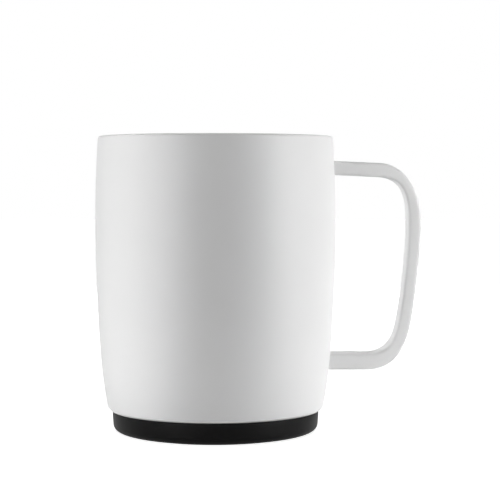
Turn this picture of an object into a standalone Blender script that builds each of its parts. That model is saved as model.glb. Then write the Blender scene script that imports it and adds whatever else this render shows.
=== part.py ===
"""Insulated mug: a double-wall steel cup, a hollow band handle and a snapped-on base cap.

Metres, +Z up. The origin is on the mug's axis at table level, and the handle points along +X.
"""
from math import acos, atan2, ceil, cos, pi, radians, sin, tan

import bmesh
import bpy
from mathutils import Matrix, Vector
from mathutils.geometry import interpolate_bezier

# Barrel of the outer shell
MUG_HEIGHT = 0.10575
WIDEST_RADIUS = 0.0430
WIDEST_HEIGHT = 0.0735
LIP_TAPER = 0.00113
HEEL_HEIGHT = 0.0079
HEEL_TAPER = 0.00367
TUCK_HEIGHT = 0.0265
HEEL_TUCK = 0.00079
HEEL_FILLET = 0.0023
SHELL_WALL = 0.0006

# Lip, where the shell folds in over the liner
LIP_FILLET = 0.0010
LIP_WIDTH = 0.0030

# Neck below the heel, which the base cap snaps on to
HEEL_STEP = 0.0014
NECK_BEND = 0.0005
SNAP_DROP = 0.0018
SNAP_DEPTH = 0.0004
SNAP_HEIGHT = 0.0012

# Inner liner
LINER_WALL = 0.0005
LINER_LAND = 0.0015
LINER_DRAFT = 0.0015
LINER_FILLET = 0.0090
BASE_GAP = 0.0054

# Reflective foil wrapped round the liner
FOIL_THICKNESS = 0.0002
FOIL_TOP_DROP = 0.0080
FOIL_BOTTOM_RISE = 0.0140

# Outer bottom, a dished plate welded into the neck
BOTTOM_WALL = 0.0006
BOTTOM_FILLET = 0.0008
BOTTOM_FOOT_WIDTH = 0.0084
PANEL_RISE = 0.0022
PANEL_RAMP = 0.0020
PANEL_FILLET = 0.0006
DIMPLE_RADIUS = 0.0060
DIMPLE_DEPTH = 0.0010
PUMP_HOLE_RADIUS = 0.0012

# Brazed seal in the dimple
SEAL_RADIUS = 0.0038
SEAL_THICKNESS = 0.0008
SEAL_EDGE = 0.0005

# Getter pill and the stamped dish that holds it in the vacuum
GETTER_RADIUS = 0.0040
GETTER_THICKNESS = 0.0014
GETTER_EDGE = 0.0003
DISH_WALL = 0.0003
DISH_HEIGHT = 0.0022
DISH_FLANGE = 0.0010

# Base cap
FOOT_PROUD = 0.0005
CAP_FLOOR = 0.0015
CAP_WALL = 0.0013
CAP_TAPER = 0.0005
CAP_FILLET = 0.00245
CAP_INNER_FILLET = 0.0004
CAP_LEAD_IN = 0.0005
RIB_COUNT = 8
RIB_THICKNESS = 0.0010
RIB_INNER_RADIUS = 0.0080

# Bonding ring between the base cap and the outer bottom
BOND_THICKNESS = 0.0008
BOND_WIDTH = 0.0064

# Non-slip pad let into the cap's underside
PAD_BORDER = 0.0041
PAD_RECESS = 0.0008
PAD_CHAMFER = 0.0004

# Handle, a flat hollow band bent into a D
HANDLE_WIDTH = 0.0120
HANDLE_EDGE = 0.0010
HANDLE_WALL = 0.0008
HANDLE_PROJECTION = 0.0302
HANDLE_DROP = 0.0085
HANDLE_SPAN = 0.07485
UPPER_ARM_THICKNESS = 0.0050
UPRIGHT_THICKNESS = 0.0043
LOWER_ARM_THICKNESS = 0.0056
ARM_FALL = 0.0010
REACH_DROP = 0.0228
LEAN = 0.0036
UPRIGHT_SWELL = 0.0003
LOWER_BEND_RISE = 0.0160
UPPER_BEND_WIDTH = 0.0150
LOWER_BEND_WIDTH = 0.0159
INNER_UPPER_BEND_WIDTH = 0.0110
INNER_LOWER_BEND_WIDTH = 0.0104
INNER_LOWER_BEND_RISE = 0.0098
LEAN_SLOPE_SHARE = 0.21

# Bezier handle lengths of the handle's bends, as shares of each bend's width and height
UPPER_BEND_SHARES = (0.633, 0.558)
UPRIGHT_SHARES = (0.19, 0.25)
LOWER_BEND_SHARES = (0.65, 0.58)
INNER_UPPER_BEND_SHARES = (0.78, 0.71)
INNER_UPRIGHT_SHARES = (0.23, 0.30)
INNER_LOWER_BEND_SHARES = (0.64, 0.57)

# Fits and modelling values
SEAT_CLEARANCE = 0.0003
CUT_OVERRUN = 0.0030
MERGE_DISTANCE = 0.000001
CHORD_ERROR = 0.00008
TURN_STEPS = 48
SMALL_TURN_STEPS = 24
BEND_PIECES = 10
EDGE_PIECES = 2
BARREL_PIECES = 10
SHARP_DEGREES = 32
FILLET_LIMIT_SHARE = 0.9

# Heights worked out from the table up
CAP_FLOOR_TOP = FOOT_PROUD + CAP_FLOOR
BOTTOM_UNDERSIDE = CAP_FLOOR_TOP + BOND_THICKNESS
PANEL_UNDERSIDE = BOTTOM_UNDERSIDE + PANEL_RISE
PANEL_TOP = PANEL_UNDERSIDE + BOTTOM_WALL
DIMPLE_UNDERSIDE = PANEL_UNDERSIDE + DIMPLE_DEPTH
LINER_FLOOR = PANEL_TOP + BASE_GAP + LINER_WALL
LINER_TOP = MUG_HEIGHT - SHELL_WALL
SNAP_MIDDLE = HEEL_HEIGHT - SNAP_DROP
GROOVE_BOTTOM = SNAP_MIDDLE - SNAP_HEIGHT / 2 - SEAT_CLEARANCE
HANDLE_TOP = MUG_HEIGHT - HANDLE_DROP
HANDLE_BOTTOM = HANDLE_TOP - HANDLE_SPAN


def barrel_radius(height):
    """Outer radius of the barrel: bowed above and below its widest ring, tucked in at the heel."""
    if height >= WIDEST_HEIGHT:
        rise = (height - WIDEST_HEIGHT) / (MUG_HEIGHT - WIDEST_HEIGHT)
        return WIDEST_RADIUS - LIP_TAPER * rise ** 2
    fall = (WIDEST_HEIGHT - height) / (WIDEST_HEIGHT - HEEL_HEIGHT)
    tuck = max(0.0, (TUCK_HEIGHT - height) / (TUCK_HEIGHT - HEEL_HEIGHT))
    return WIDEST_RADIUS - HEEL_TAPER * fall ** 2 - HEEL_TUCK * tuck ** 2


# Radii worked out from the barrel inwards
LIP_OPENING = barrel_radius(MUG_HEIGHT) - LIP_WIDTH
LINER_FOOT_RADIUS = LIP_OPENING - LINER_DRAFT
CAP_RIM_RADIUS = barrel_radius(HEEL_HEIGHT) - HEEL_STEP
CAP_BORE = CAP_RIM_RADIUS - CAP_WALL
NECK_RADIUS = CAP_BORE - SEAT_CLEARANCE
BOTTOM_RADIUS = NECK_RADIUS - SHELL_WALL - SEAT_CLEARANCE
PANEL_RADIUS = BOTTOM_RADIUS - BOTTOM_FOOT_WIDTH
GETTER_OFFSET = (DIMPLE_RADIUS + PANEL_RADIUS - PANEL_RAMP) / 2
PAD_RADIUS = CAP_RIM_RADIUS - CAP_TAPER - PAD_BORDER
HANDLE_REACH = WIDEST_RADIUS + HANDLE_PROJECTION


def liner_radius(height):
    """Inner radius of the liner's drafted wall."""
    share = (LINER_TOP - LINER_LAND - height) / (LINER_TOP - LINER_LAND - LINER_FLOOR)
    return LIP_OPENING - LINER_DRAFT * max(0.0, share)


def barrel_points(gap):
    """Corners down the barrel from the lip to the heel, held off the wall by a gap."""
    heights = [
        MUG_HEIGHT - (MUG_HEIGHT - HEEL_HEIGHT) * piece / BARREL_PIECES
        for piece in range(BARREL_PIECES + 1)
    ]
    return [(barrel_radius(height) + gap, height, 0) for height in heights]


def rounded(corners):
    """Points of an outline of (r, z, fillet radius) corners: each fillet is an arc, within its walls."""
    points = []
    for index, (radius, height, fillet) in enumerate(corners):
        corner = Vector((radius, height))
        if fillet == 0:
            points.append(corner)
            continue
        before = Vector(corners[index - 1][:2]) - corner
        after = Vector(corners[(index + 1) % len(corners)][:2]) - corner
        half_angle = before.angle(after) / 2
        shorter_wall = min(before.length, after.length)
        fillet = min(fillet, FILLET_LIMIT_SHARE * shorter_wall * tan(half_angle))
        before.normalize()
        after.normalize()
        centre = corner + (before + after).normalized() * (fillet / sin(half_angle))
        start = corner + before * (fillet / tan(half_angle)) - centre
        end = corner + after * (fillet / tan(half_angle)) - centre
        first = atan2(start.y, start.x)
        sweep = (atan2(end.y, end.x) - first + pi) % (2 * pi) - pi
        pieces = ceil(abs(sweep) / (2 * acos(1 - CHORD_ERROR / fillet)))
        for piece in range(pieces + 1):
            angle = first + sweep * piece / pieces
            points.append(centre + Vector((cos(angle), sin(angle))) * fillet)
    return points


def clear_scene():
    """Removes the objects that the scene starts with."""
    for thing in list(bpy.data.objects):
        bpy.data.objects.remove(thing, do_unlink=True)


def new_collection(name):
    """A collection linked to the scene."""
    collection = bpy.data.collections.new(name)
    bpy.context.scene.collection.children.link(collection)
    return collection


def new_material(name, colour, roughness, metallic):
    """A plain finish with one colour."""
    material = bpy.data.materials.new(name)
    material.use_nodes = True
    shader = material.node_tree.nodes["Principled BSDF"]
    shader.inputs["Base Color"].default_value = (*colour, 1.0)
    shader.inputs["Roughness"].default_value = roughness
    shader.inputs["Metallic"].default_value = metallic
    material.diffuse_color = (*colour, 1.0)
    return material


def add_piece(name, mesh, material):
    """A sub-part of the mug, carried by the mug's origin."""
    piece = bpy.data.objects.new(name, mesh)
    mesh.materials.append(material)
    mug_pieces.objects.link(piece)
    piece.parent = mug_origin
    return piece


def add_cutter(name, mesh):
    """A shape that is only cut away from, or joined to, another piece."""
    cutter = bpy.data.objects.new(name, mesh)
    cutter.hide_render = True
    cutter.display_type = "WIRE"
    cutters.objects.link(cutter)
    return cutter


def profile_mesh(name, corners, closed=False):
    """A chain of edges in the XZ plane, to be turned round the Z axis."""
    points = rounded(corners)
    edges = [(index, index + 1) for index in range(len(points) - 1)]
    if closed:
        edges.append((len(points) - 1, 0))
    mesh = bpy.data.meshes.new(name)
    mesh.from_pydata([(point.x, 0, point.y) for point in points], edges, [])
    return mesh


def turn(thing, steps):
    """Turns a profile round the Z axis."""
    screw = thing.modifiers.new("turn", "SCREW")
    screw.axis = "Z"
    screw.angle = 2 * pi
    screw.steps = steps
    screw.render_steps = steps
    screw.use_merge_vertices = True
    screw.merge_threshold = MERGE_DISTANCE
    screw.use_smooth_shade = True


def turned_solid(name, corners, material, steps, closed=False):
    """A solid of revolution."""
    piece = add_piece(name, profile_mesh(name, corners, closed), material)
    turn(piece, steps)
    return piece


def turned_sheet(name, corners, material, steps, wall, side):
    """A turned sheet: side 1 grows its wall away from the axis, and side -1 towards it."""
    piece = turned_solid(name, corners, material, steps)
    solidify = piece.modifiers.new("wall", "SOLIDIFY")
    solidify.thickness = wall
    solidify.offset = side
    solidify.use_even_offset = True
    return piece


def cut(piece, cutter, operation="DIFFERENCE"):
    """Adds one Boolean step to a piece."""
    boolean = piece.modifiers.new(cutter.name, "BOOLEAN")
    boolean.operation = operation
    boolean.solver = "EXACT"
    boolean.object = cutter


def make_outer_shell():
    """The coated barrel with its folded lip, its heel and the grooved neck under it."""
    groove_radius = NECK_RADIUS - SNAP_DEPTH
    groove_half = SNAP_HEIGHT / 2 + SEAT_CLEARANCE
    barrel = barrel_points(0)
    lip = (barrel[0][0], barrel[0][1], LIP_FILLET)
    heel = (barrel[-1][0], barrel[-1][1], HEEL_FILLET)
    corners = [(LIP_OPENING, MUG_HEIGHT, 0), lip, *barrel[1:-1], heel]
    corners += [
        (NECK_RADIUS, HEEL_HEIGHT, NECK_BEND),
        (NECK_RADIUS, SNAP_MIDDLE + groove_half, 0),
        (groove_radius, SNAP_MIDDLE + groove_half - SNAP_DEPTH, 0),
        (groove_radius, SNAP_MIDDLE - groove_half + SNAP_DEPTH, 0),
        (NECK_RADIUS, SNAP_MIDDLE - groove_half, 0),
        (NECK_RADIUS, BOTTOM_UNDERSIDE, 0),
    ]
    turned_sheet("outer_shell", corners, white_coat, TURN_STEPS, SHELL_WALL, -1)


def make_inner_liner():
    """The steel cup that holds the drink, butted under the folded lip."""
    corners = [
        (LIP_OPENING, LINER_TOP, 0),
        (LIP_OPENING, LINER_TOP - LINER_LAND, 0),
        (LINER_FOOT_RADIUS, LINER_FLOOR, LINER_FILLET),
        (0, LINER_FLOOR, 0),
    ]
    turned_sheet("inner_liner", corners, brushed_steel, TURN_STEPS, LINER_WALL, 1)


def make_reflective_foil():
    """A thin sleeve round the liner that keeps radiated heat in."""
    stand_off = LINER_WALL + SEAT_CLEARANCE
    top = LINER_TOP - FOIL_TOP_DROP
    bottom = LINER_FLOOR + FOIL_BOTTOM_RISE
    corners = [
        (liner_radius(top) + stand_off, top, 0),
        (liner_radius(bottom) + stand_off, bottom, 0),
    ]
    turned_sheet("reflective_foil", corners, copper_foil, TURN_STEPS, FOIL_THICKNESS, 1)


def make_outer_bottom():
    """The dished plate that closes the vacuum space, with a pump-out dimple at its centre."""
    corners = [
        (BOTTOM_RADIUS, GROOVE_BOTTOM - SEAT_CLEARANCE, 0),
        (BOTTOM_RADIUS, BOTTOM_UNDERSIDE, BOTTOM_FILLET),
        (PANEL_RADIUS, BOTTOM_UNDERSIDE, PANEL_FILLET),
        (PANEL_RADIUS - PANEL_RAMP, PANEL_UNDERSIDE, PANEL_FILLET),
        (DIMPLE_RADIUS, PANEL_UNDERSIDE, 0),
        (DIMPLE_RADIUS - DIMPLE_DEPTH, DIMPLE_UNDERSIDE, 0),
        (PUMP_HOLE_RADIUS, DIMPLE_UNDERSIDE, 0),
    ]
    turned_sheet("outer_bottom", corners, brushed_steel, TURN_STEPS, BOTTOM_WALL, -1)


def make_vacuum_seal():
    """The brazed bead that plugs the pump-out hole after the air is drawn off."""
    plug_radius = PUMP_HOLE_RADIUS - SEAT_CLEARANCE
    corners = [
        (0, DIMPLE_UNDERSIDE + BOTTOM_WALL, 0),
        (plug_radius, DIMPLE_UNDERSIDE + BOTTOM_WALL, 0),
        (plug_radius, DIMPLE_UNDERSIDE, 0),
        (SEAL_RADIUS, DIMPLE_UNDERSIDE, 0),
        (SEAL_RADIUS - SEAL_EDGE, DIMPLE_UNDERSIDE - SEAL_THICKNESS, SEAL_EDGE),
        (0, DIMPLE_UNDERSIDE - SEAL_THICKNESS, 0),
    ]
    turned_solid("vacuum_seal", corners, braze, SMALL_TURN_STEPS)


def make_getter():
    """The pill that soaks up stray gas, in a stamped dish spot-welded to the outer bottom."""
    dish_radius = GETTER_RADIUS + SEAT_CLEARANCE
    corners = [
        (dish_radius + DISH_FLANGE, DISH_HEIGHT, 0),
        (dish_radius, DISH_HEIGHT, 0),
        (dish_radius, DISH_WALL, 0),
        (0, DISH_WALL, 0),
    ]
    dish = turned_sheet("getter_dish", corners, brushed_steel, SMALL_TURN_STEPS, DISH_WALL, 1)
    dish.location = (-GETTER_OFFSET, 0, PANEL_TOP)
    corners = [
        (0, DISH_WALL + GETTER_THICKNESS, 0),
        (GETTER_RADIUS, DISH_WALL + GETTER_THICKNESS, GETTER_EDGE),
        (GETTER_RADIUS, DISH_WALL, 0),
        (0, DISH_WALL, 0),
    ]
    pill = turned_solid("getter_pill", corners, getter_alloy, SMALL_TURN_STEPS)
    pill.location = (-GETTER_OFFSET, 0, PANEL_TOP)


def rib_cutter(index):
    """One radial stiffening rib, sunk to the middle of the cap's floor to be joined to it."""
    outer_radius = PANEL_RADIUS - PANEL_RAMP - PANEL_FILLET
    length = outer_radius - RIB_INNER_RADIUS
    sunk = CAP_FLOOR_TOP - (CAP_FLOOR - PAD_RECESS) / 2
    height = PANEL_UNDERSIDE - SEAT_CLEARANCE - sunk
    middle = Vector((RIB_INNER_RADIUS + length / 2, 0, sunk + height / 2))
    mesh = bpy.data.meshes.new(f"rib_{index}")
    box = bmesh.new()
    bmesh.ops.create_cube(box, size=1)
    size = Matrix.Diagonal((length, RIB_THICKNESS, height, 1))
    bmesh.ops.transform(box, matrix=Matrix.Translation(middle) @ size, verts=box.verts)
    box.to_mesh(mesh)
    box.free()
    rib = add_cutter(f"rib_{index}", mesh)
    rib.rotation_euler.z = 2 * pi * index / RIB_COUNT
    return rib


def make_base_cap():
    """The moulded cap: ribbed floor, tapered skirt with a snap bead, and a recess for the pad."""
    bead_half = SNAP_HEIGHT / 2
    recess_radius = PAD_RADIUS + SEAT_CLEARANCE
    corners = [
        (0, CAP_FLOOR_TOP, 0),
        (CAP_BORE, CAP_FLOOR_TOP, CAP_INNER_FILLET),
        (CAP_BORE, SNAP_MIDDLE - bead_half, 0),
        (CAP_BORE - SNAP_DEPTH, SNAP_MIDDLE, 0),
        (CAP_BORE, SNAP_MIDDLE + bead_half, 0),
        (CAP_BORE, HEEL_HEIGHT - CAP_LEAD_IN, 0),
        (CAP_BORE + CAP_LEAD_IN, HEEL_HEIGHT, 0),
        (CAP_RIM_RADIUS, HEEL_HEIGHT, 0),
        (CAP_RIM_RADIUS - CAP_TAPER, FOOT_PROUD, CAP_FILLET),
        (recess_radius, FOOT_PROUD, 0),
        (recess_radius, FOOT_PROUD + PAD_RECESS, 0),
        (0, FOOT_PROUD + PAD_RECESS, 0),
    ]
    cap = turned_solid("base_cap", corners, black_plastic, TURN_STEPS)
    for index in range(RIB_COUNT):
        cut(cap, rib_cutter(index), "UNION")


def make_bond_ring():
    """The ring of adhesive foam that holds the cap to the outer bottom."""
    outer_radius = BOTTOM_RADIUS - BOTTOM_FILLET - SEAT_CLEARANCE
    corners = [
        (outer_radius, BOTTOM_UNDERSIDE, 0),
        (outer_radius, CAP_FLOOR_TOP, 0),
        (outer_radius - BOND_WIDTH, CAP_FLOOR_TOP, 0),
        (outer_radius - BOND_WIDTH, BOTTOM_UNDERSIDE, 0),
    ]
    turned_solid("bond_ring", corners, bond_foam, TURN_STEPS, closed=True)


def make_non_slip_pad():
    """The rubber disc that the mug stands on."""
    corners = [
        (0, FOOT_PROUD + PAD_RECESS, 0),
        (PAD_RADIUS, FOOT_PROUD + PAD_RECESS, 0),
        (PAD_RADIUS, PAD_CHAMFER, 0),
        (PAD_RADIUS - PAD_CHAMFER, 0, 0),
        (0, 0, 0),
    ]
    turned_solid("non_slip_pad", corners, black_rubber, TURN_STEPS)


def bend(start, start_way, end, end_way, lengths):
    """Points of a smooth bend between two places, each with its direction of travel."""
    first_handle = start + start_way.normalized() * lengths[0]
    last_handle = end - end_way.normalized() * lengths[1]
    return interpolate_bezier(start, first_handle, last_handle, end, BEND_PIECES + 1)


def handle_outline():
    """The band seen from the front: down its outer side and back up its inner side."""
    root = WIDEST_RADIUS - LIP_TAPER - HEEL_TAPER - CUT_OVERRUN
    top_bend = Vector((HANDLE_REACH - UPPER_BEND_WIDTH, HANDLE_TOP - ARM_FALL))
    fall = top_bend - Vector((root, HANDLE_TOP))
    down = Vector((0, -1))
    back = Vector((-1, 0))
    lean = Vector((-LEAN_SLOPE_SHARE, -1))
    reach = Vector((HANDLE_REACH, HANDLE_TOP - REACH_DROP))
    low_bend = Vector((HANDLE_REACH - LEAN, HANDLE_BOTTOM + LOWER_BEND_RISE))
    low_arm = Vector((low_bend.x - LOWER_BEND_WIDTH, HANDLE_BOTTOM))
    upper_height = top_bend.y - reach.y
    upright = reach.y - low_bend.y
    points = [Vector((root, HANDLE_TOP))]
    points += bend(top_bend, fall, reach, down, (
        UPPER_BEND_WIDTH * UPPER_BEND_SHARES[0], upper_height * UPPER_BEND_SHARES[1]))
    points += bend(reach, down, low_bend, lean, (
        upright * UPRIGHT_SHARES[0], upright * UPRIGHT_SHARES[1]))[1:]
    points += bend(low_bend, lean, low_arm, back, (
        LOWER_BEND_RISE * LOWER_BEND_SHARES[0], LOWER_BEND_WIDTH * LOWER_BEND_SHARES[1]))[1:]
    points.append(Vector((root, HANDLE_BOTTOM)))

    inner_floor = HANDLE_BOTTOM + LOWER_ARM_THICKNESS
    inner_reach = reach - Vector((UPRIGHT_THICKNESS, 0))
    inner_top_bend = Vector((
        inner_reach.x - INNER_UPPER_BEND_WIDTH, HANDLE_TOP - ARM_FALL - UPPER_ARM_THICKNESS))
    inner_low_bend = Vector((
        inner_reach.x - LEAN - UPRIGHT_SWELL, inner_floor + INNER_LOWER_BEND_RISE))
    inner_low_arm = Vector((inner_low_bend.x - INNER_LOWER_BEND_WIDTH, inner_floor))
    inner_height = inner_top_bend.y - inner_reach.y
    inner_upright = inner_reach.y - inner_low_bend.y
    points.append(Vector((root, inner_floor)))
    points += bend(inner_low_arm, -back, inner_low_bend, -lean, (
        INNER_LOWER_BEND_WIDTH * INNER_LOWER_BEND_SHARES[1],
        INNER_LOWER_BEND_RISE * INNER_LOWER_BEND_SHARES[0]))
    points += bend(inner_low_bend, -lean, inner_reach, -down, (
        inner_upright * INNER_UPRIGHT_SHARES[1], inner_upright * INNER_UPRIGHT_SHARES[0]))[1:]
    points += bend(inner_reach, -down, inner_top_bend, -fall, (
        inner_height * INNER_UPPER_BEND_SHARES[1],
        INNER_UPPER_BEND_WIDTH * INNER_UPPER_BEND_SHARES[0]))[1:]
    points.append(Vector((root, HANDLE_TOP - UPPER_ARM_THICKNESS)))
    return points


def band_mesh(name, half_width, inset, edge):
    """The handle's outline pulled in by an inset, as a band of a given half width."""
    curve = bpy.data.curves.new(name, "CURVE")
    curve.dimensions = "2D"
    curve.fill_mode = "BOTH"
    curve.extrude = half_width - edge
    curve.bevel_depth = edge
    curve.bevel_resolution = EDGE_PIECES
    curve.offset = -inset - edge
    outline = handle_outline()
    spline = curve.splines.new("POLY")
    spline.points.add(len(outline) - 1)
    for point, place in zip(spline.points, outline):
        point.co = (place.x, place.y, 0, 1)
    spline.use_cyclic_u = True
    holder = bpy.data.objects.new(name, curve)
    cutters.objects.link(holder)
    bpy.context.view_layer.update()
    evaluated = holder.evaluated_get(bpy.context.evaluated_depsgraph_get())
    mesh = bpy.data.meshes.new_from_object(evaluated)
    bpy.data.objects.remove(holder)
    welded = bmesh.new()
    welded.from_mesh(mesh)
    bmesh.ops.remove_doubles(welded, verts=welded.verts, dist=MERGE_DISTANCE)
    bmesh.ops.rotate(welded, verts=welded.verts, matrix=Matrix.Rotation(pi / 2, 3, "X"))
    welded.to_mesh(mesh)
    welded.free()
    return mesh


def make_handle():
    """The hollow band, open at both ends, which are coped to the barrel."""
    half_width = HANDLE_WIDTH / 2
    handle = add_piece("handle", band_mesh("handle", half_width, 0, HANDLE_EDGE), white_coat)
    bore = band_mesh("handle_bore", half_width - HANDLE_WALL, HANDLE_WALL, 0)
    cut(handle, add_cutter("handle_bore", bore))
    barrel = barrel_points(SEAT_CLEARANCE)
    corners = [(0, MUG_HEIGHT, 0), *barrel, (0, HEEL_HEIGHT, 0)]
    cope = add_cutter("handle_cope", profile_mesh("handle_cope", corners))
    turn(cope, TURN_STEPS)
    cut(handle, cope)


def settle_shading():
    """Keeps each piece's finished mesh, smooth except across its crisp edges."""
    bpy.context.view_layer.update()
    depsgraph = bpy.context.evaluated_depsgraph_get()
    finished = {
        piece: bpy.data.meshes.new_from_object(piece.evaluated_get(depsgraph))
        for piece in mug_pieces.objects
        if piece.type == "MESH"
    }
    for piece, mesh in finished.items():
        piece.modifiers.clear()
        piece.data = mesh
        mesh.shade_smooth()
        mesh.set_sharp_from_angle(angle=radians(SHARP_DEGREES))


clear_scene()
mug_pieces = new_collection("insulated_mug")
cutters = new_collection("cutters")
mug_origin = bpy.data.objects.new("mug_origin", None)
mug_pieces.objects.link(mug_origin)

white_coat = new_material("white_coat", (0.80, 0.80, 0.80), 0.45, 0.0)
brushed_steel = new_material("brushed_steel", (0.60, 0.60, 0.59), 0.30, 1.0)
copper_foil = new_material("copper_foil", (0.80, 0.42, 0.27), 0.20, 1.0)
braze = new_material("braze", (0.45, 0.44, 0.42), 0.40, 1.0)
getter_alloy = new_material("getter_alloy", (0.20, 0.20, 0.21), 0.80, 0.6)
black_plastic = new_material("black_plastic", (0.012, 0.012, 0.012), 0.55, 0.0)
bond_foam = new_material("bond_foam", (0.10, 0.10, 0.10), 0.90, 0.0)
black_rubber = new_material("black_rubber", (0.018, 0.018, 0.018), 0.80, 0.0)

make_outer_shell()
make_inner_liner()
make_reflective_foil()
make_outer_bottom()
make_vacuum_seal()
make_getter()
make_base_cap()
make_bond_ring()
make_non_slip_pad()
make_handle()
settle_shading()
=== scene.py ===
"""Looks of the insulated mug: fine surfaces, a smooth band handle, finishes, light and camera.

Metres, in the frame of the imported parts: the mug's axis is Z, and the handle points along +X.
"""
from math import acos, atan2, ceil, cos, pi, radians, sin, tan

import bmesh
import bpy
from mathutils import Matrix, Vector
from mathutils.geometry import interpolate_bezier


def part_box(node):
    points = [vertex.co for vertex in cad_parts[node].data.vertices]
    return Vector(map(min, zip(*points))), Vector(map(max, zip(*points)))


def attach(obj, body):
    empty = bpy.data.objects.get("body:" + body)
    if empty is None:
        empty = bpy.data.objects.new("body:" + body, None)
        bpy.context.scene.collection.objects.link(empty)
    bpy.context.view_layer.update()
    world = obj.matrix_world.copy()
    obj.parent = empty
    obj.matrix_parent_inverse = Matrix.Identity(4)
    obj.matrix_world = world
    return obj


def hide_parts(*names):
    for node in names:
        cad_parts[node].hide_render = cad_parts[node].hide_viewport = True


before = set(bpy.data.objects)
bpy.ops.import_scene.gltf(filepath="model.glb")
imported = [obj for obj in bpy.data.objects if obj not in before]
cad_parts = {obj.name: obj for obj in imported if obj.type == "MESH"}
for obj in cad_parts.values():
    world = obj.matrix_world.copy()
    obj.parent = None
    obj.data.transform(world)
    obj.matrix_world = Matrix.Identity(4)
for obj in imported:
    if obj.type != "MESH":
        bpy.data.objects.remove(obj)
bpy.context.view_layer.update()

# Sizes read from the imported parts
MUG_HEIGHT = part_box("outer_shell")[1].z
NECK_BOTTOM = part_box("outer_shell")[0].z
LINER_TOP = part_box("inner_liner")[1].z
LINER_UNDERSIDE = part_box("inner_liner")[0].z
CAP_RIM_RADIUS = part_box("base_cap")[1].x
HEEL_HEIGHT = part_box("base_cap")[1].z
FOOT_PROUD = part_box("base_cap")[0].z
PAD_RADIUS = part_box("non_slip_pad")[1].x
PAD_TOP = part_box("non_slip_pad")[1].z
HANDLE_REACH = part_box("handle")[1].x
HANDLE_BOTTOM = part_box("handle")[0].z
HANDLE_HALF_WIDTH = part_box("handle")[1].y

# Barrel of the outer shell
WIDEST_RADIUS = 0.0430
WIDEST_HEIGHT = 0.0735
LIP_TAPER = 0.00113
HEEL_TAPER = 0.00367
TUCK_HEIGHT = 0.0265
HEEL_TUCK = 0.00079
HEEL_FILLET = 0.0023
SHELL_WALL = 0.0006

# Lip, where the coat ends on bare steel
LIP_FILLET = 0.0010
LIP_WIDTH = 0.0030
COAT_THICKNESS = 0.00006
COAT_EDGE_WIDTH = 0.0014
SEAM_ROUND = 0.0002
SEAM_DROP = 2 * SEAM_ROUND

# Neck under the heel, and the groove in it that the cap's bead snaps into
SEAT_CLEARANCE = 0.0003
NECK_BEND = 0.0005
SNAP_DROP = 0.0018
SNAP_DEPTH = 0.0004
SNAP_HEIGHT = 0.0012

# Inner liner
LINER_WALL = 0.0005
LINER_LAND = 0.0015
LINER_DRAFT = 0.0015
LINER_FILLET = 0.0090

# Base cap and its pad
CAP_FLOOR = 0.0015
CAP_WALL = 0.0013
CAP_TAPER = 0.0005
CAP_FILLET = 0.00245
CAP_LEAD_IN = 0.0005
CAP_EDGE_ROUND = 0.00015
PAD_CHAMFER = 0.0004
PAD_EDGE_ROUND = 0.0002

# Handle, a flat band bent into a D
HANDLE_EDGE = 0.0010
HANDLE_DROP = 0.0085
UPPER_ARM_THICKNESS = 0.0050
UPRIGHT_THICKNESS = 0.0043
LOWER_ARM_THICKNESS = 0.0056
ARM_FALL = 0.0010
REACH_DROP = 0.0228
LEAN = 0.0036
LEAN_SLOPE_SHARE = 0.21
UPRIGHT_SWELL = 0.0003
LOWER_BEND_RISE = 0.0160
UPPER_BEND_WIDTH = 0.0150
LOWER_BEND_WIDTH = 0.0159
INNER_UPPER_BEND_WIDTH = 0.0110
INNER_LOWER_BEND_WIDTH = 0.0104
INNER_LOWER_BEND_RISE = 0.0098
ROOT_DEPTH = 0.0078
ROOT_SEAT = 0.00005

# Bezier handle lengths of the handle's bends, as shares of each bend's width and height
UPPER_BEND_SHARES = (0.633, 0.558)
UPRIGHT_SHARES = (0.19, 0.25)
LOWER_BEND_SHARES = (0.65, 0.58)
INNER_UPPER_BEND_SHARES = (0.78, 0.71)
INNER_UPRIGHT_SHARES = (0.23, 0.30)
INNER_LOWER_BEND_SHARES = (0.64, 0.57)

# Fineness of the surfaces
MERGE_DISTANCE = 0.000001
CHORD_ERROR = 0.000004
TURN_STEPS = 192
BEND_PIECES = 36
EDGE_PIECES = 6
BARREL_PIECES = 48
SHARP_DEGREES = 35

# Camera, from the fit to the photograph's frame
PICTURE_PIXELS = 500
FOCAL_PIXELS = 1548
SENSOR_WIDTH_MM = 36
CAMERA_DISTANCE = 0.5556
CAMERA_HEIGHT = 0.0902
CAMERA_PITCH = 0.04525
CAMERA_YAW = 0.02224
CAMERA_ROLL = -0.0003

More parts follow.
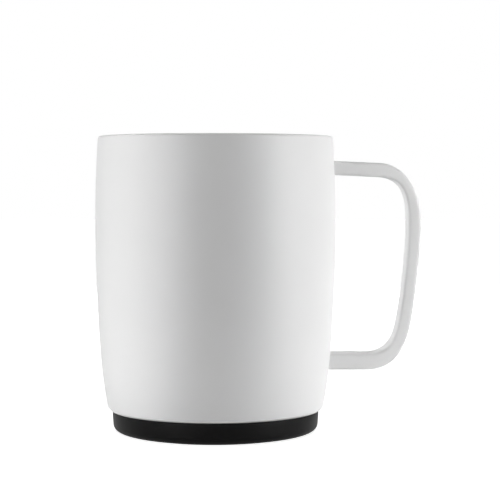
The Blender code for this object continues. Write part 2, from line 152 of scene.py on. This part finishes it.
# Studio lamps: soft boxes with grids, aimed at the barrel's sides and at the handle, and weak ones
# around, of which the edge lamp lights the handle alone. Degrees go round the mug from the camera's
# side towards the handle, rise is the height over the floor, and side is the aim's place along X.
LAMPS = {
    "left_lamp": {
        "degrees": -50, "distance": 0.18, "rise": 0.075, "width": 0.12, "height": 0.20,
        "side": -0.06, "spread": 30, "watts": 0.0560},
    "right_lamp": {
        "degrees": 70, "distance": 0.24, "rise": 0.085, "width": 0.12, "height": 0.25,
        "side": 0.05, "spread": 26, "watts": 0.0818},
    "handle_lamp": {
        "degrees": -25, "distance": 0.50, "rise": 0.10, "width": 0.03, "height": 0.14,
        "side": 0.08, "spread": 9, "watts": 0.0029},
    "fill_lamp": {
        "degrees": -42, "distance": 1.0, "rise": 0.15, "width": 0.30, "height": 0.30,
        "side": 0.0, "spread": 180, "watts": 1.55},
    "back_lamp": {
        "degrees": 180, "distance": 0.70, "rise": 0.24, "width": 0.30, "height": 0.25,
        "side": 0.0, "spread": 180, "watts": 2.7},
    "edge_lamp": {
        "degrees": -140, "distance": 0.70, "rise": 0.25, "width": 0.30, "height": 0.25,
        "side": 0.0, "spread": 180, "watts": 1.3},
    "top_lamp": {
        "degrees": 0, "distance": 0.0, "rise": 0.90, "width": 0.60, "height": 0.60,
        "side": 0.0, "spread": 180, "watts": 0.2},
}
GRIDDED_LAMPS = ("left_lamp", "right_lamp", "handle_lamp")
LAMP_AIM_HEIGHT = 0.070

# World and floor
AMBIENT_LEVEL = 0.08
BACKGROUND_COLOUR = (1, 1, 1, 1)
FLOOR_SIZE = 6.0
FLOOR_DROP = 0.0001
FLOOR_COLOUR = (0.90, 0.90, 0.90, 1)
FLOOR_GLOW = 0.95

# Finishes made of noise. Each noise is (features to the metre, detail), tones are (dark, light),
# roughness is (low, high), and each bump is (noise, height in metres, strength).
FINISHES = {
    # Matte powder coat: a soft orange peel under a fine grain
    "white_coat": {
        "specular": 0.40,
        "tones": ((0.795, 0.795, 0.795), (0.815, 0.815, 0.815)), "tone_noise": (90, 3),
        "roughness": (0.46, 0.54), "roughness_noise": (900, 2),
        "bumps": (((1100, 2), 0.00002, 0.30), ((5200, 2), 0.00001, 0.30))},
    # Plastic with the fine spark-eroded grain of its mould
    "black_plastic": {
        "specular": 0.06,
        "tones": ((0.0035, 0.0035, 0.0035), (0.0055, 0.0055, 0.0055)), "tone_noise": (400, 3),
        "roughness": (0.44, 0.56), "roughness_noise": (1500, 2),
        "bumps": (((3600, 3), 0.00002, 0.45),)},
    # Dull rubber with a fine pitted skin
    "black_rubber": {
        "specular": 0.25,
        "tones": ((0.014, 0.014, 0.014), (0.022, 0.022, 0.022)), "tone_noise": (700, 3),
        "roughness": (0.72, 0.88), "roughness_noise": (1600, 2),
        "bumps": (((2600, 4), 0.00004, 0.60),)},
    # Bright foil, creased where it was wrapped
    "copper_foil": {
        "metallic": 1.0,
        "tones": ((0.74, 0.37, 0.23), (0.86, 0.46, 0.31)), "tone_noise": (260, 4),
        "roughness": (0.15, 0.30), "roughness_noise": (260, 4),
        "bumps": (((260, 4), 0.0002, 0.40),)},
    # Dull brazing metal with a flowed surface
    "braze": {
        "metallic": 1.0,
        "tones": ((0.38, 0.37, 0.35), (0.52, 0.51, 0.48)), "tone_noise": (900, 3),
        "roughness": (0.34, 0.55), "roughness_noise": (900, 3),
        "bumps": (((900, 3), 0.00005, 0.40),)},
    # Dark sintered grains
    "getter_alloy": {
        "metallic": 0.6,
        "tones": ((0.14, 0.14, 0.15), (0.27, 0.27, 0.28)), "tone_noise": (4200, 4),
        "roughness": (0.70, 0.90), "roughness_noise": (4200, 4),
        "bumps": (((4200, 4), 0.00006, 0.60),)},
    # Dark adhesive foam with fine cells
    "bond_foam": {
        "specular": 0.20,
        "tones": ((0.07, 0.07, 0.07), (0.13, 0.13, 0.13)), "tone_noise": (3000, 4),
        "roughness": (0.82, 0.96), "roughness_noise": (3000, 4),
        "bumps": (((3000, 4), 0.00008, 0.70),)},
}

# Stainless steel, brushed on the lathe in rings of (features along, features across, detail)
FINE_RINGS = (2.0, 6000.0, 3)
BROAD_RINGS = (1.0, 900.0, 2)
STEEL_TONES = ((0.56, 0.56, 0.55), (0.66, 0.66, 0.65))
STEEL_ROUGHNESS = (0.30, 0.38)
STEEL_ANISOTROPY = 0.50
STEEL_BUMP_HEIGHT = 0.000006
STEEL_BUMP_STRENGTH = 0.25

# Places of a colour mix among the sockets of Blender's Mix node
MIX_FACTOR, MIX_FIRST, MIX_SECOND = 0, 6, 7
MIX_RESULT = 2

# Sizes that follow from those above
CAP_BORE = CAP_RIM_RADIUS - CAP_WALL
NECK_RADIUS = CAP_BORE - SEAT_CLEARANCE
SNAP_MIDDLE = HEEL_HEIGHT - SNAP_DROP
LINER_FLOOR = LINER_UNDERSIDE + LINER_WALL
HANDLE_TOP = MUG_HEIGHT - HANDLE_DROP


def barrel_radius(height):
    """Outer radius of the barrel: bowed above and below its widest ring, tucked in at the heel."""
    if height >= WIDEST_HEIGHT:
        rise = (height - WIDEST_HEIGHT) / (MUG_HEIGHT - WIDEST_HEIGHT)
        return WIDEST_RADIUS - LIP_TAPER * rise ** 2
    fall = (WIDEST_HEIGHT - height) / (WIDEST_HEIGHT - HEEL_HEIGHT)
    tuck = max(0.0, (TUCK_HEIGHT - height) / (TUCK_HEIGHT - HEEL_HEIGHT))
    return WIDEST_RADIUS - HEEL_TAPER * fall ** 2 - HEEL_TUCK * tuck ** 2


LIP_OPENING = barrel_radius(MUG_HEIGHT) - LIP_WIDTH


def barrel_points(gap):
    """Corners down the barrel from the lip to the heel, held off the wall by a gap."""
    heights = [
        MUG_HEIGHT - (MUG_HEIGHT - HEEL_HEIGHT) * piece / BARREL_PIECES
        for piece in range(BARREL_PIECES + 1)
    ]
    return [(barrel_radius(height) + gap, height, 0) for height in heights]


def rounded(corners):
    """Points of an outline of (r, z, fillet radius) corners, with each fillet as an arc."""
    points = []
    for index, (radius, height, fillet) in enumerate(corners):
        corner = Vector((radius, height))
        if fillet == 0:
            points.append(corner)
            continue
        before = (Vector(corners[index - 1][:2]) - corner).normalized()
        after = (Vector(corners[(index + 1) % len(corners)][:2]) - corner).normalized()
        half_angle = before.angle(after) / 2
        centre = corner + (before + after).normalized() * (fillet / sin(half_angle))
        start = corner + before * (fillet / tan(half_angle)) - centre
        end = corner + after * (fillet / tan(half_angle)) - centre
        first = atan2(start.y, start.x)
        sweep = (atan2(end.y, end.x) - first + pi) % (2 * pi) - pi
        pieces = ceil(abs(sweep) / (2 * acos(1 - CHORD_ERROR / fillet)))
        for piece in range(pieces + 1):
            angle = first + sweep * piece / pieces
            points.append(centre + Vector((cos(angle), sin(angle))) * fillet)
    return points


def new_object(name, data):
    """An object linked to the scene."""
    thing = bpy.data.objects.new(name, data)
    bpy.context.scene.collection.objects.link(thing)
    return thing


def profile_object(name, corners):
    """An outline in the XZ plane, turned round the Z axis into a surface."""
    points = rounded(corners)
    edges = [(index, index + 1) for index in range(len(points) - 1)]
    mesh = bpy.data.meshes.new(name)
    mesh.from_pydata([(point.x, 0, point.y) for point in points], edges, [])
    thing = new_object(name, mesh)
    screw = thing.modifiers.new("turn", "SCREW")
    screw.steps = TURN_STEPS
    screw.render_steps = TURN_STEPS
    screw.use_merge_vertices = True
    screw.merge_threshold = MERGE_DISTANCE
    return thing


def thicken(thing, wall, side):
    """Gives a turned sheet its wall: side 1 grows away from the axis, and side -1 towards it."""
    solidify = thing.modifiers.new("wall", "SOLIDIFY")
    solidify.thickness = wall
    solidify.offset = side
    solidify.use_even_offset = True


def cut_away(thing, cutter):
    """Cuts one shape out of another."""
    boolean = thing.modifiers.new(cutter.name, "BOOLEAN")
    boolean.operation = "DIFFERENCE"
    boolean.solver = "EXACT"
    boolean.object = cutter


def finished_mesh(thing):
    """A new mesh of an object as its modifiers or its curve make it."""
    bpy.context.view_layer.update()
    depsgraph = bpy.context.evaluated_depsgraph_get()
    return bpy.data.meshes.new_from_object(thing.evaluated_get(depsgraph))


def settle(thing, *materials):
    """Keeps an object's finished mesh, smooth except across crisp edges, with its materials."""
    mesh = finished_mesh(thing)
    thing.modifiers.clear()
    thing.data = mesh
    mesh.materials.clear()
    for material in materials:
        mesh.materials.append(material)
    mesh.shade_smooth()
    mesh.set_sharp_from_angle(angle=radians(SHARP_DEGREES))


def install(piece, node):
    """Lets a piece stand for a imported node."""
    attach(piece, "root")
    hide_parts(node)


class Finish:
    """One node material, with short calls for the nodes that it needs."""

    def __init__(self, name, metallic, specular, anisotropic=0.0):
        self.material = bpy.data.materials.new(name)
        self.material.use_nodes = True
        self.tree = self.material.node_tree
        self.shader = self.tree.nodes["Principled BSDF"]
        self.shader.inputs["Metallic"].default_value = metallic
        self.shader.inputs["Specular IOR Level"].default_value = specular
        self.shader.inputs["Anisotropic"].default_value = anisotropic
        self.place = self.add("ShaderNodeTexCoord").outputs["Object"]
        self.patterns = {}

    def feed(self, socket, value):
        """Links a socket to another one, or sets its number."""
        if isinstance(value, bpy.types.NodeSocket):
            self.tree.links.new(value, socket)
        else:
            socket.default_value = value

    def add(self, kind, **values):
        """A node with some of its inputs fed, whose names have underscores for spaces here."""
        made = self.tree.nodes.new(kind)
        for name, value in values.items():
            self.feed(made.inputs[name.replace("_", " ")], value)
        return made

    def maths(self, operation, first, second=0.0):
        """The result of one sum on two numbers or sockets."""
        made = self.tree.nodes.new("ShaderNodeMath")
        made.operation = operation
        self.feed(made.inputs[0], first)
        self.feed(made.inputs[1], second)
        return made.outputs["Value"]

    def noise(self, scale, detail):
        """A noise pattern with this many features to the metre. The same one is made once."""
        if (scale, detail) not in self.patterns:
            made = self.add(
                "ShaderNodeTexNoise", Scale=scale, Detail=detail, Vector=self.place)
            self.patterns[scale, detail] = made.outputs["Fac"]
        return self.patterns[scale, detail]

    def rings(self, along, across, detail):
        """A noise pattern in rings round the Z axis, also over a floor and its fillet."""
        parts = self.add("ShaderNodeSeparateXYZ", Vector=self.place)
        squares = self.maths(
            "ADD",
            self.maths("MULTIPLY", parts.outputs["X"], parts.outputs["X"]),
            self.maths("MULTIPLY", parts.outputs["Y"], parts.outputs["Y"]))
        radius = self.maths("MAXIMUM", self.maths("SQRT", squares), MERGE_DISTANCE)
        place = self.add(
            "ShaderNodeCombineXYZ",
            X=self.maths("MULTIPLY", self.maths("DIVIDE", parts.outputs["X"], radius), along),
            Y=self.maths("MULTIPLY", self.maths("DIVIDE", parts.outputs["Y"], radius), along),
            Z=self.maths("MULTIPLY", self.maths("ADD", parts.outputs["Z"], radius), across))
        made = self.add(
            "ShaderNodeTexNoise", Scale=1.0, Detail=detail, Vector=place.outputs["Vector"])
        return made.outputs["Fac"]

    def brush_round_axis(self):
        """Lets the gloss stretch as on metal that was brushed round the Z axis."""
        tangent = self.tree.nodes.new("ShaderNodeTangent")
        tangent.direction_type = "RADIAL"
        tangent.axis = "Z"
        self.feed(self.shader.inputs["Tangent"], tangent.outputs["Tangent"])

    def colour(self, pattern, dark, light):
        """Lets the colour wander between two tones with a pattern."""
        mix = self.tree.nodes.new("ShaderNodeMix")
        mix.data_type = "RGBA"
        self.feed(mix.inputs[MIX_FACTOR], pattern)
        self.feed(mix.inputs[MIX_FIRST], (*dark, 1.0))
        self.feed(mix.inputs[MIX_SECOND], (*light, 1.0))
        self.feed(self.shader.inputs["Base Color"], mix.outputs[MIX_RESULT])

    def roughness(self, pattern, low, high):
        """Lets the roughness wander between two values with a pattern."""
        spread = self.add("ShaderNodeMapRange", Value=pattern, To_Min=low, To_Max=high)
        self.feed(self.shader.inputs["Roughness"], spread.outputs["Result"])

    def bump(self, pattern, height, strength):
        """Adds a bump layer over those already there, with its height in metres."""
        made = self.add("ShaderNodeBump", Height=pattern, Distance=height, Strength=strength)
        normal = self.shader.inputs["Normal"]
        if normal.is_linked:
            self.feed(made.inputs["Normal"], normal.links[0].from_socket)
        self.feed(normal, made.outputs["Normal"])


def noise_finish(
        name, tones, tone_noise, roughness, roughness_noise, bumps, metallic=0.0, specular=0.5):
    """A finish whose tone, roughness and bumps follow noise patterns."""
    finish = Finish(name, metallic, specular)
    finish.colour(finish.noise(*tone_noise), *tones)
    finish.roughness(finish.noise(*roughness_noise), *roughness)
    for noise, height, strength in bumps:
        finish.bump(finish.noise(*noise), height, strength)
    return finish.material


def turned_steel():
    """Bare stainless steel, brushed in rings on the lathe."""
    finish = Finish("turned_steel", metallic=1.0, specular=0.5, anisotropic=STEEL_ANISOTROPY)
    finish.brush_round_axis()
    fine = finish.rings(*FINE_RINGS)
    finish.colour(fine, *STEEL_TONES)
    finish.roughness(finish.rings(*BROAD_RINGS), *STEEL_ROUGHNESS)
    finish.bump(fine, STEEL_BUMP_HEIGHT, STEEL_BUMP_STRENGTH)
    return finish.material


def make_shell(coat, steel):
    """The coated barrel: the coat stops on the lip's crest, and the metal inside it is bare."""
    bare_top = MUG_HEIGHT - COAT_THICKNESS
    coat_edge = barrel_radius(MUG_HEIGHT) - COAT_EDGE_WIDTH
    groove_half = SNAP_HEIGHT / 2 + SEAT_CLEARANCE
    groove_radius = NECK_RADIUS - SNAP_DEPTH
    barrel = barrel_points(0)
    corners = [
        (LIP_OPENING, bare_top - SEAM_DROP, 0),
        (LIP_OPENING, bare_top, SEAM_ROUND),
        (coat_edge, bare_top, 0),
        (coat_edge, MUG_HEIGHT, 0),
        (barrel[0][0], barrel[0][1], LIP_FILLET),
        *barrel[1:-1],
        (barrel[-1][0], barrel[-1][1], HEEL_FILLET),
        (NECK_RADIUS, HEEL_HEIGHT, NECK_BEND),
        (NECK_RADIUS, SNAP_MIDDLE + groove_half, 0),
        (groove_radius, SNAP_MIDDLE + groove_half - SNAP_DEPTH, 0),
        (groove_radius, SNAP_MIDDLE - groove_half + SNAP_DEPTH, 0),
        (NECK_RADIUS, SNAP_MIDDLE - groove_half, 0),
        (NECK_RADIUS, NECK_BOTTOM, 0),
    ]
    shell = profile_object("shell_barrel", corners)
    thicken(shell, SHELL_WALL, -1)
    settle(shell, coat, steel)
    for face in shell.data.polygons:
        radius = Vector(face.center[:2]).length
        height = face.center.z
        inside = radius < barrel_radius(height) - SHELL_WALL / 2
        bare_inside = inside and (radius < coat_edge or height < bare_top)
        bare_neck = radius < CAP_RIM_RADIUS and height < HEEL_HEIGHT + MERGE_DISTANCE
        face.material_index = int(bare_inside or bare_neck)
    install(shell, "outer_shell")


def make_liner(steel):
    """The steel cup inside, brushed in rings."""
    corners = [
        (LIP_OPENING, LINER_TOP, 0),
        (LIP_OPENING, LINER_TOP - LINER_LAND, 0),
        (LIP_OPENING - LINER_DRAFT, LINER_FLOOR, LINER_FILLET),
        (0, LINER_FLOOR, 0),
    ]
    liner = profile_object("liner_cup", corners)
    thicken(liner, LINER_WALL, 1)
    settle(liner, steel)
    install(liner, "inner_liner")
    return liner


def make_cap(plastic):
    """The moulded base cap."""
    recess_radius = PAD_RADIUS + SEAT_CLEARANCE
    floor_top = FOOT_PROUD + CAP_FLOOR
    bead_half = SNAP_HEIGHT / 2
    corners = [
        (0, floor_top, 0),
        (CAP_BORE, floor_top, 0),
        (CAP_BORE, SNAP_MIDDLE - bead_half, 0),
        (CAP_BORE - SNAP_DEPTH, SNAP_MIDDLE, 0),
        (CAP_BORE, SNAP_MIDDLE + bead_half, 0),
        (CAP_BORE, HEEL_HEIGHT - CAP_LEAD_IN, 0),
        (CAP_BORE + CAP_LEAD_IN, HEEL_HEIGHT, 0),
        (CAP_RIM_RADIUS, HEEL_HEIGHT, CAP_EDGE_ROUND),
        (CAP_RIM_RADIUS - CAP_TAPER, FOOT_PROUD, CAP_FILLET),
        (recess_radius, FOOT_PROUD, CAP_EDGE_ROUND),
        (recess_radius, PAD_TOP, 0),
        (0, PAD_TOP, 0),
    ]
    cap = profile_object("cap_moulding", corners)
    settle(cap, plastic)
    install(cap, "base_cap")


def make_pad(rubber):
    """The rubber disc that the mug stands on."""
    corners = [
        (0, PAD_TOP, 0),
        (PAD_RADIUS, PAD_TOP, 0),
        (PAD_RADIUS, PAD_CHAMFER, PAD_EDGE_ROUND),
        (PAD_RADIUS - PAD_CHAMFER, 0, PAD_EDGE_ROUND),
        (0, 0, 0),
    ]
    pad = profile_object("pad_disc", corners)
    settle(pad, rubber)
    install(pad, "non_slip_pad")


def bend(start, start_way, end, end_way, lengths):
    """Points of a smooth bend between two places, each with its direction of travel."""
    first_handle = start + start_way.normalized() * lengths[0]
    last_handle = end - end_way.normalized() * lengths[1]
    return interpolate_bezier(start, first_handle, last_handle, end, BEND_PIECES + 1)


def handle_outline():
    """The band seen from the front: down its outer side and back up its inner side."""
    root = WIDEST_RADIUS - ROOT_DEPTH
    top_bend = Vector((HANDLE_REACH - UPPER_BEND_WIDTH, HANDLE_TOP - ARM_FALL))
    fall = top_bend - Vector((root, HANDLE_TOP))
    down = Vector((0, -1))
    back = Vector((-1, 0))
    lean = Vector((-LEAN_SLOPE_SHARE, -1))
    reach = Vector((HANDLE_REACH, HANDLE_TOP - REACH_DROP))
    low_bend = Vector((HANDLE_REACH - LEAN, HANDLE_BOTTOM + LOWER_BEND_RISE))
    low_arm = Vector((low_bend.x - LOWER_BEND_WIDTH, HANDLE_BOTTOM))
    upper_height = top_bend.y - reach.y
    upright = reach.y - low_bend.y
    points = [Vector((root, HANDLE_TOP))]
    points += bend(top_bend, fall, reach, down, (
        UPPER_BEND_WIDTH * UPPER_BEND_SHARES[0], upper_height * UPPER_BEND_SHARES[1]))
    points += bend(reach, down, low_bend, lean, (
        upright * UPRIGHT_SHARES[0], upright * UPRIGHT_SHARES[1]))[1:]
    points += bend(low_bend, lean, low_arm, back, (
        LOWER_BEND_RISE * LOWER_BEND_SHARES[0], LOWER_BEND_WIDTH * LOWER_BEND_SHARES[1]))[1:]
    points.append(Vector((root, HANDLE_BOTTOM)))

    inner_floor = HANDLE_BOTTOM + LOWER_ARM_THICKNESS
    inner_reach = reach - Vector((UPRIGHT_THICKNESS, 0))
    inner_top_bend = Vector((
        inner_reach.x - INNER_UPPER_BEND_WIDTH, HANDLE_TOP - ARM_FALL - UPPER_ARM_THICKNESS))
    inner_low_bend = Vector((
        inner_reach.x - LEAN - UPRIGHT_SWELL, inner_floor + INNER_LOWER_BEND_RISE))
    inner_low_arm = Vector((inner_low_bend.x - INNER_LOWER_BEND_WIDTH, inner_floor))
    inner_height = inner_top_bend.y - inner_reach.y
    inner_upright = inner_reach.y - inner_low_bend.y
    points.append(Vector((root, inner_floor)))
    points += bend(inner_low_arm, -back, inner_low_bend, -lean, (
        INNER_LOWER_BEND_WIDTH * INNER_LOWER_BEND_SHARES[1],
        INNER_LOWER_BEND_RISE * INNER_LOWER_BEND_SHARES[0]))
    points += bend(inner_low_bend, -lean, inner_reach, -down, (
        inner_upright * INNER_UPRIGHT_SHARES[1], inner_upright * INNER_UPRIGHT_SHARES[0]))[1:]
    points += bend(inner_reach, -down, inner_top_bend, -fall, (
        inner_height * INNER_UPPER_BEND_SHARES[1],
        INNER_UPPER_BEND_WIDTH * INNER_UPPER_BEND_SHARES[0]))[1:]
    points.append(Vector((root, HANDLE_TOP - UPPER_ARM_THICKNESS)))
    return points


def band_mesh():
    """The band with softly rounded edges, upright over the X axis, still run into the barrel."""
    curve = bpy.data.curves.new("handle_outline", "CURVE")
    curve.dimensions = "2D"
    curve.fill_mode = "BOTH"
    curve.extrude = HANDLE_HALF_WIDTH - HANDLE_EDGE
    curve.bevel_depth = HANDLE_EDGE
    curve.bevel_resolution = EDGE_PIECES
    curve.offset = -HANDLE_EDGE
    outline = handle_outline()
    spline = curve.splines.new("POLY")
    spline.points.add(len(outline) - 1)
    for point, place in zip(spline.points, outline):
        point.co = (place.x, place.y, 0, 1)
    spline.use_cyclic_u = True
    holder = new_object("handle_outline", curve)
    mesh = finished_mesh(holder)
    bpy.data.objects.remove(holder)
    welded = bmesh.new()
    welded.from_mesh(mesh)
    bmesh.ops.remove_doubles(welded, verts=welded.verts, dist=MERGE_DISTANCE)
    bmesh.ops.rotate(welded, verts=welded.verts, matrix=Matrix.Rotation(pi / 2, 3, "X"))
    welded.to_mesh(mesh)
    welded.free()
    return mesh


def make_handle(coat):
    """The coated band, cut to the barrel that it is welded to."""
    handle = new_object("handle_band", band_mesh())
    corners = [(0, MUG_HEIGHT, 0), *barrel_points(-ROOT_SEAT), (0, HEEL_HEIGHT, 0)]
    cope = profile_object("handle_cope", corners)
    cut_away(handle, cope)
    settle(handle, coat)
    bpy.data.objects.remove(cope)
    install(handle, "handle")
    return handle


def dress(node, material):
    """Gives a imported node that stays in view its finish."""
    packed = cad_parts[node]
    for slot in packed.material_slots:
        slot.link = "OBJECT"
        slot.material = material


def make_lamp(name, degrees, distance, rise, width, height, side, spread, watts):
    """A soft box aimed at the mug or beside its axis, out of the camera's sight."""
    data = bpy.data.lights.new(name, "AREA")
    data.shape = "RECTANGLE"
    data.size = width
    data.size_y = height
    data.energy = watts
    data.spread = radians(spread)
    lamp = new_object(name, data)
    turn = radians(degrees)
    lamp.location = (distance * sin(turn), -distance * cos(turn), rise)
    aim = Vector((side, 0, LAMP_AIM_HEIGHT)) - lamp.location
    lamp.rotation_euler = aim.to_track_quat("-Z", "Y").to_euler()
    lamp.visible_camera = False
    return lamp


def flag(lamps, things, state):
    """Keeps lamps off some objects (EXCLUDE), or on them alone (INCLUDE), as black flags do."""
    flagged = bpy.data.collections.new("flagged")
    for thing in things:
        flagged.objects.link(thing)
    for member in flagged.collection_objects:
        member.light_linking.link_state = state
    for lamp in lamps:
        lamp.light_linking.receiver_collection = flagged


def seen_or_mirrored(tree):
    """1 for rays from the camera and from gloss or glass, which see a white background, else 0."""
    path = tree.nodes.new("ShaderNodeLightPath")
    either = path.outputs["Is Camera Ray"]
    for name in ("Is Glossy Ray", "Is Transmission Ray"):
        joined = tree.nodes.new("ShaderNodeMath")
        joined.operation = "MAXIMUM"
        tree.links.new(either, joined.inputs[0])
        tree.links.new(path.outputs[name], joined.inputs[1])
        either = joined.outputs["Value"]
    return either


def make_world():
    """An even level of light, behind which the background is white."""
    world = bpy.data.worlds.new("studio")
    bpy.context.scene.world = world
    world.use_nodes = True
    tree = world.node_tree
    background = tree.nodes["Background"]
    strength = tree.nodes.new("ShaderNodeMapRange")
    strength.inputs["To Min"].default_value = AMBIENT_LEVEL
    tree.links.new(seen_or_mirrored(tree), strength.inputs["Value"])
    background.inputs["Color"].default_value = BACKGROUND_COLOUR
    tree.links.new(strength.outputs["Result"], background.inputs["Strength"])


def floor_material():
    """A pale matte floor that glows for the camera and for gloss, up to the background's white."""
    material = bpy.data.materials.new("floor")
    material.use_nodes = True
    tree = material.node_tree
    tree.nodes.clear()
    shade = tree.nodes.new("ShaderNodeBsdfDiffuse")
    shade.inputs["Color"].default_value = FLOOR_COLOUR
    glow = tree.nodes.new("ShaderNodeEmission")
    level = tree.nodes.new("ShaderNodeMath")
    level.operation = "MULTIPLY"
    level.inputs[1].default_value = FLOOR_GLOW
    both = tree.nodes.new("ShaderNodeAddShader")
    output = tree.nodes.new("ShaderNodeOutputMaterial")
    tree.links.new(seen_or_mirrored(tree), level.inputs[0])
    tree.links.new(level.outputs["Value"], glow.inputs["Strength"])
    tree.links.new(shade.outputs["BSDF"], both.inputs[0])
    tree.links.new(glow.outputs["Emission"], both.inputs[1])
    tree.links.new(both.outputs["Shader"], output.inputs["Surface"])
    return material


def make_floor():
    """A plain pale floor that runs into the background and keeps the mug's shadow."""
    mesh = bpy.data.meshes.new("floor")
    corners = bmesh.new()
    bmesh.ops.create_grid(corners, x_segments=1, y_segments=1, size=FLOOR_SIZE / 2)
    corners.to_mesh(mesh)
    corners.free()
    floor = new_object("floor", mesh)
    floor.location.z = -FLOOR_DROP
    mesh.materials.append(floor_material())
    return floor


def make_camera():
    """The photograph's viewing angle."""
    data = bpy.data.cameras.new("camera")
    data.sensor_width = SENSOR_WIDTH_MM
    data.lens = FOCAL_PIXELS / PICTURE_PIXELS * SENSOR_WIDTH_MM
    camera = new_object("camera", data)
    camera.location = (0, -CAMERA_DISTANCE, CAMERA_HEIGHT)
    camera.rotation_euler = (pi / 2 - CAMERA_PITCH, CAMERA_ROLL, -CAMERA_YAW)
    bpy.context.scene.camera = camera


# Studio
make_camera()
make_world()
floor = make_floor()
lamps = {name: make_lamp(name, **values) for name, values in LAMPS.items()}
lamps["back_lamp"].visible_glossy = False
bpy.context.scene.view_settings.view_transform = "Standard"

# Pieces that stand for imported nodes
finishes = {name: noise_finish(name, **values) for name, values in FINISHES.items()}
bare_steel = turned_steel()
make_shell(finishes["white_coat"], bare_steel)
liner_cup = make_liner(bare_steel)
make_cap(finishes["black_plastic"])
make_pad(finishes["black_rubber"])
handle_band = make_handle(finishes["white_coat"])

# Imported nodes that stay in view
dress("outer_bottom", bare_steel)
dress("getter_dish", bare_steel)
dress("reflective_foil", finishes["copper_foil"])
dress("vacuum_seal", finishes["braze"])
dress("getter_pill", finishes["getter_alloy"])
dress("bond_ring", finishes["bond_foam"])

# What each lamp may light
flag([lamps[name] for name in GRIDDED_LAMPS], [liner_cup, floor], "EXCLUDE")
flag([lamps["edge_lamp"]], [handle_band], "INCLUDE")
